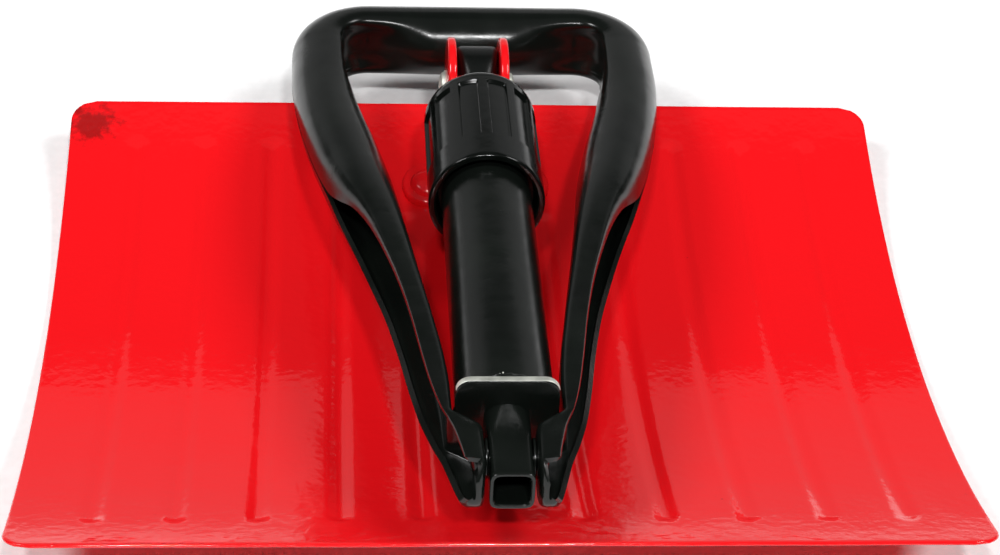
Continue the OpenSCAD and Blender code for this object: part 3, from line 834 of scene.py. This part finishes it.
def curve(table, at):
    """Smooth monotone curve through a table's columns (Fritsch-Carlson slopes)."""
    x, y = table[:, 0], table[:, 1:]
    h = np.diff(x)[:, None]
    d = np.diff(y, axis=0) / h
    m = np.zeros_like(y)
    m[0], m[-1] = d[0], d[-1]
    same = d[:-1] * d[1:] > 0
    w1, w2 = 2 * h[1:] + h[:-1], h[1:] + 2 * h[:-1]
    with np.errstate(divide="ignore", invalid="ignore"):
        mean = (w1 + w2) / (w1 / d[:-1] + w2 / d[1:])
    m[1:-1] = np.where(same, mean, 0)
    k = np.clip(np.searchsorted(x, at, "right") - 1, 0, len(x) - 2)
    t = ((at - x[k]) / h[k, 0])[:, None]
    return ((2 * t ** 3 - 3 * t ** 2 + 1) * y[k] + (t ** 3 - 2 * t ** 2 + t) * h[k] * m[k]
            + (-2 * t ** 3 + 3 * t ** 2) * y[k + 1] + (t ** 3 - t ** 2) * h[k] * m[k + 1])


# %% D-handle: its rings
SIDE_POINTS = 46


def sheet_ring(centre, turn, w, h, power, open_up, open_down, narrow, dent):
    """One open ring of the rolled sheet in the handle's plane: outside out, inside back."""
    ring = []
    for side in (0, 1):
        steps = np.linspace(0, 1, SIDE_POINTS)
        if side:
            steps = steps[::-1]
        t = np.radians(open_up + (360 - open_up - open_down) * steps)
        c, s = np.cos(t), np.sin(t)
        u = max(w - side * WALL, 0.25) * np.sign(c) * np.abs(c) ** (2 / power)
        z = max(h - side * WALL, 0.5) * np.sign(s) * np.abs(s) ** (2 / power)
        upper = (t < math.pi) * np.clip(c, 0, 1) ** 0.4
        u -= narrow * upper * smooth_step(s, 0.0, 0.35)
        facing = np.exp(-(np.abs(np.degrees(t) - 180) / 47) ** 3)
        u += dent * w * facing * (1 - 0.15 * side)
        ca, sa = math.cos(turn), math.sin(turn)
        ring += [(centre[0] + a * ca, centre[1] + a * sa, b) for a, b in zip(u, z)]
    return ring


def in_handle_plane(p):
    """The handle's own plane to the blade's frame: it leans a little and starts at the pivot."""
    c, s = math.cos(-HANDLE_TILT), math.sin(-HANDLE_TILT)
    p = np.asarray(p, float)
    return np.stack([p[..., 0], PIVOT_Y + p[..., 1] * c - p[..., 2] * s,
                     SHAFT_Z + p[..., 1] * s + p[..., 2] * c], -1)


corner_x, corner_v = HALF_W - GRIP_R - CORNER_BEND, HANDLE_LEN - CORNER_BEND
along = np.concatenate([np.linspace(-15.4, -8, 16), np.linspace(-7, 16, 20), np.linspace(18, 160, 66),
                        np.linspace(162, corner_v - 1.5, 36)])
values = curve(LEGS, np.minimum(along, LEGS[-1, 0]))
right = [sheet_ring(((v[0] + v[1]) / 2, a), 0.0, (v[1] - v[0]) / 2, v[2] / 2, *v[3:])
         for a, v in zip(along, values)]
for a in np.linspace(0, 90, 25):
    t = math.radians(a)
    centre = (corner_x + CORNER_BEND * math.cos(t), corner_v + CORNER_BEND * math.sin(t))
    dent = CORNER_DENT + 0.14 * math.sin(2 * t)
    right.append(sheet_ring(centre, t, GRIP_R, GRIP_R, 2, 1.5, 1.5, 0, dent))
grip = []
for x in np.linspace(corner_x - 1.2, 0, 30):
    dent = CORNER_DENT * (1 - float(smooth_step(corner_x - x, 0, DENT_FADE)))
    grip.append(sheet_ring((x, HANDLE_LEN), math.pi / 2, GRIP_R, GRIP_R, 2, 1.5, 1.5, 0, dent))
right = np.array(right + grip)
left = right[::-1][1:].copy()
left[..., 0] *= -1
rings = np.concatenate([right, left])
piece("d_handle_rolled", in_handle_plane(rings).reshape(-1, 3), capped(rings), black_enamel,
      "handle", "black_enamel", ["d_handle"], sharp=math.radians(50))

# %% Pivot pin and washers
half = 7.4 + WALL + 1
PIVOT_R = 3.0
parts = [closed_lathe([(-half, PIVOT_R), (half, PIVOT_R)], across_at(PIVOT_Y, SHAFT_Z))]
for d in (-1, 1):
    parts.append(closed_lathe(dome(d * (half - 0.6), 5.0, 2.2, d), across_at(PIVOT_Y, SHAFT_Z)))
points, faces = joined(*parts)
piece("pivot_pin_riveted", points, faces, black_enamel, "handle", "black_enamel", ["pivot_pin"])
parts = [washer(3.05, 6.0, d * 6.6, d * 7.35, across_at(PIVOT_Y, SHAFT_Z)) for d in (-1, 1)]
points, faces = joined(*parts)
piece("pivot_washer_pair", points, faces, black_enamel, "handle", "black_enamel", ["pivot_washers"])

# %% [markdown]
# Two CAD pieces stay as they are because hardly anything of them shows: the ring that centres
# the stub and the rivets under the thread. They only need their real metal.

# %% Finishes on the CAD pieces that stay
for name in ("stub_collar", "sleeve_rivets"):
    mesh = frame["nodes"][name].data
    mesh.materials.clear()
    mesh.materials.append(zinc)

# %% [markdown]
# ## Studio
# A pale plain floor, a big but weak panel overhead, a broad white panel of light behind, which
# is what the near half of the hollow blade mirrors, two small lamps in front for the sharp twin
# glints, and two wider ones at the sides, where no flat face throws them back as a glare.

# %% Floor and lights
floor_paint, tree, surface, place = new_material("matt_white_paper", Roughness=0.9)
fibre = add(tree, "TexNoise", {"Vector": place}, Scale=per_mm(3), Detail=3)
tree.links.new(ramp(tree, fibre.outputs["Fac"], 0.3, 0.7, linear("F4F4F4"), linear("FAFAFA")),
               surface.inputs["Base Color"])
mesh = bpy.data.meshes.new("studio_floor")
FLOOR_HALF, FLOOR_DROP = 4.0, -0.0006
corners = [(x * FLOOR_HALF, y * FLOOR_HALF, FLOOR_DROP)
           for x, y in ((-1, -1), (1, -1), (1, 1), (-1, 1))]
mesh.from_pydata(corners, [], [(0, 1, 2, 3)])
mesh.materials.append(floor_paint)
studio_floor = bpy.data.objects.new("studio_floor", mesh)
bpy.context.scene.collection.objects.link(studio_floor)


def panel(name, at, look_at, width, height, power):
    """A rectangular area lamp, aimed at a point."""
    lamp = bpy.data.lights.new(name, "AREA")
    lamp.shape, lamp.size, lamp.size_y, lamp.energy = "RECTANGLE", width, height, power
    obj = bpy.data.objects.new(name, lamp)
    obj.location = at
    obj.rotation_euler = (Vector(look_at) - Vector(at)).to_track_quat("-Z", "Y").to_euler()
    bpy.context.scene.collection.objects.link(obj)
    return obj


panel("overhead_panel", (0, 0.15, 1.5), (0, 0, 0), 1.6, 1.2, 0.6)
panel("back_wall_panel", (0, 1.7, 0.42), (0, 0, 0.1), 3.2, 0.96, 2.7)
panel("left_lamp", (-0.26, -1.22, 1.62), (0, 0, 0), 0.12, 0.12, 13)
panel("right_lamp", (0.16, -1.22, 1.62), (0, 0, 0), 0.12, 0.12, 13)
panel("left_side_lamp", (-1.35, -0.05, 1.7), (0, 0, 0), 0.6, 0.6, 21)
panel("right_side_lamp", (1.35, -0.05, 1.7), (0, 0, 0), 0.6, 0.6, 21)
studio = bpy.data.worlds.new("studio")
studio.use_nodes = True
studio.node_tree.nodes["Background"].inputs["Color"].default_value = (1, 1, 1, 1)
studio.node_tree.nodes["Background"].inputs["Strength"].default_value = 0.04
bpy.context.scene.world = studio
bpy.context.scene.view_settings.view_transform = "Standard"

# %% [markdown]
# ## Camera
# It looks down at about forty degrees from the free edge's side, a little to the left, with a
# slightly long lens. Its place and angles are plain numbers in metres and degrees.

# %% Camera
CAMERA_AT = (-0.05213, -0.62347, 0.54681)
CAMERA_ANGLES = (49.7805, -2.7806, -2.9031)
LENS_MM = 87.53
eye = bpy.data.cameras.new("studio_camera")
eye.lens, eye.sensor_width = LENS_MM, 36.0
eye.clip_start, eye.clip_end = 0.01, 50
eye.dof.use_dof = False
camera = bpy.data.objects.new("studio_camera", eye)
camera.location = CAMERA_AT
camera.rotation_euler = [math.radians(a) for a in CAMERA_ANGLES]
bpy.context.scene.collection.objects.link(camera)
bpy.context.scene.camera = camera
